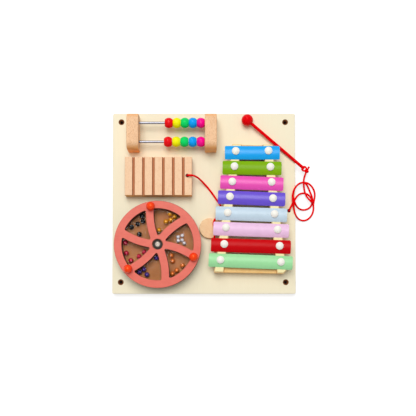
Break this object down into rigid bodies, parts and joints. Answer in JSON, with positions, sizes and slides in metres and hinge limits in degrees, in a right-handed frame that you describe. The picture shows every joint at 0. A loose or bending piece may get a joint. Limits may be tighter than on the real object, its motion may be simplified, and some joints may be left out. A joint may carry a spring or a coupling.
{
  "type": "wooden busy board",
  "caption": "Square plywood busy board with a bead abacus, a ribbed scraper, a rain wheel with loose balls and an eight-note xylophone with a tethered mallet.",
  "frame": {"origin": "centre of the board's back face", "axes": "+Z out of the board towards the child, +Y up the board, +X to the right"},
  "size_m": [0.3339, 0.297, 0.0501],
  "materials": {
    "board_wood": "sanded birch plywood, clear lacquer",
    "block_wood": "pink-stained beech, satin",
    "scraper_wood": "orange-stained wood, satin",
    "disc_wood": "stained wood, satin",
    "frame_wood": "amber-stained pine, satin",
    "face_paint": "salmon paint on fibreboard, satin",
    "wheel_wood": "bare fibreboard, laser-browned edges",
    "clear_window": "clear acrylic sheet, polished",
    "felt": "cream felt",
    "steel": "bright steel",
    "bolt_steel": "polished",
    "washer_plastic": "black, matt",
    "cap_plastic": "ivory, glossy",
    "red_cord": "braided cord, matt",
    "mallet_red": "glossy red paint",
    "knob_orange": "glossy orange-red paint",
    "bead_magenta": "glossy paint",
    "bead_blue": "glossy paint",
    "bead_green": "glossy paint",
    "bead_yellow": "glossy paint",
    "bead_red": "glossy paint",
    "ball_gold": "pearl",
    "ball_white": "pearl",
    "ball_orange": "pearl",
    "ball_purple": "pearl",
    "ball_red": "pearl",
    "ball_black": "pearl",
    "bar_blue": "pearl enamel",
    "bar_green": "pearl enamel",
    "bar_magenta": "pearl enamel",
    "bar_purple": "pearl enamel",
    "bar_sky": "pearl enamel",
    "bar_pink": "pearl enamel",
    "bar_red": "pearl enamel",
    "bar_mint": "pearl enamel"
  },
  "bodies": {
    "root": {"base_board": "board_wood", "board_screws": "steel", "abacus_left_block": "block_wood", "abacus_right_block": "block_wood", "abacus_upper_rod": "steel", "abacus_lower_rod": "steel", "scraper_block": "scraper_wood", "scraper_disc_knot": "red_cord", "scraper_cord": "red_cord", "scraper_cord_tail": "red_cord", "scraper_back_knot": "red_cord", "mallet_cord": "red_cord", "mallet_back_knot": "red_cord", "wheel_spacer": "wheel_wood", "wheel_washer": "washer_plastic", "wheel_bolt": "bolt_steel", "wheel_nut": "steel", "xylophone_left_rail": "frame_wood", "xylophone_right_rail": "frame_wood", "xylophone_left_felt": "felt", "xylophone_right_felt": "felt", "xylophone_top_crosspiece": "frame_wood", "xylophone_bottom_crosspiece": "frame_wood", "bar_pins": "steel", "bar_caps": "cap_plastic", "tone_bar_1_blue": "bar_blue", "tone_bar_2_green": "bar_green", "tone_bar_3_magenta": "bar_magenta", "tone_bar_4_purple": "bar_purple", "tone_bar_5_sky": "bar_sky", "tone_bar_6_pink": "bar_pink", "tone_bar_7_red": "bar_red", "tone_bar_8_mint": "bar_mint"},
    "wheel": {"wheel_back_plate": "wheel_wood", "wheel_divider": "wheel_wood", "wheel_window": "clear_window", "wheel_face": "face_paint", "wheel_knobs": "knob_orange", "knob_screws": "steel", "balls_gold": "ball_gold", "balls_white": "ball_white", "balls_orange": "ball_orange", "balls_purple": "ball_purple", "balls_red": "ball_red", "balls_black": "ball_black"},
    "disc": {"scraper_disc": "disc_wood"},
    "mallet": {"mallet_head": "mallet_red", "mallet_stick": "mallet_red", "mallet_eye_knot": "red_cord"},
    "upper_magenta": {"upper_bead_magenta": "bead_magenta"},
    "upper_blue": {"upper_bead_blue": "bead_blue"},
    "upper_green": {"upper_bead_green": "bead_green"},
    "upper_yellow": {"upper_bead_yellow": "bead_yellow"},
    "upper_red": {"upper_bead_red": "bead_red"},
    "lower_magenta": {"lower_bead_magenta": "bead_magenta"},
    "lower_blue": {"lower_bead_blue": "bead_blue"},
    "lower_green": {"lower_bead_green": "bead_green"},
    "lower_yellow": {"lower_bead_yellow": "bead_yellow"},
    "lower_red": {"lower_bead_red": "bead_red"}
  },
  "joints": [
    {"name": "wheel_spin", "type": "hinge", "parent": "root", "child": "wheel", "pos_m": [-0.0745, -0.069, 0.0151], "axis": [0, 0, 1], "continuous": true},
    {"name": "disc_swing", "type": "hinge", "parent": "root", "child": "disc", "pos_m": [0.0195, -0.0439, 0.0121], "axis": [0, 0, 1], "range_deg": [-14, 12]},
    {"name": "mallet_lift", "type": "slide", "parent": "root", "child": "mallet", "axis": [0.4496, 0.5295, 0.7194], "range_m": [0, 0.05]},
    {"name": "upper_magenta_slide", "type": "slide", "parent": "root", "child": "upper_magenta", "axis": [-1, 0, 0], "range_m": [0, 0.0417]},
    {"name": "upper_blue_slide", "type": "slide", "parent": "root", "child": "upper_blue", "axis": [-1, 0, 0], "range_m": [0, 0.0417]},
    {"name": "upper_green_slide", "type": "slide", "parent": "root", "child": "upper_green", "axis": [-1, 0, 0], "range_m": [0, 0.0417]},
    {"name": "upper_yellow_slide", "type": "slide", "parent": "root", "child": "upper_yellow", "axis": [-1, 0, 0], "range_m": [0, 0.0417]},
    {"name": "upper_red_slide", "type": "slide", "parent": "root", "child": "upper_red", "axis": [-1, 0, 0], "range_m": [0, 0.0417]},
    {"name": "lower_magenta_slide", "type": "slide", "parent": "root", "child": "lower_magenta", "axis": [-1, 0, 0], "range_m": [0, 0.0405]},
    {"name": "lower_blue_slide", "type": "slide", "parent": "root", "child": "lower_blue", "axis": [-1, 0, 0], "range_m": [0, 0.0405]},
    {"name": "lower_green_slide", "type": "slide", "parent": "root", "child": "lower_green", "axis": [-1, 0, 0], "range_m": [0, 0.0405]},
    {"name": "lower_yellow_slide", "type": "slide", "parent": "root", "child": "lower_yellow", "axis": [-1, 0, 0], "range_m": [0, 0.0405]},
    {"name": "lower_red_slide", "type": "slide", "parent": "root", "child": "lower_red", "axis": [-1, 0, 0], "range_m": [0, 0.0405]}
  ],
  "couplings": [
    {"joint": "upper_blue_slide", "follows": "upper_magenta_slide", "ratio": 1},
    {"joint": "upper_green_slide", "follows": "upper_magenta_slide", "ratio": 1},
    {"joint": "upper_yellow_slide", "follows": "upper_magenta_slide", "ratio": 1},
    {"joint": "upper_red_slide", "follows": "upper_magenta_slide", "ratio": 1},
    {"joint": "lower_blue_slide", "follows": "lower_magenta_slide", "ratio": 1},
    {"joint": "lower_green_slide", "follows": "lower_magenta_slide", "ratio": 1},
    {"joint": "lower_yellow_slide", "follows": "lower_magenta_slide", "ratio": 1},
    {"joint": "lower_red_slide", "follows": "lower_magenta_slide", "ratio": 1}
  ]
}
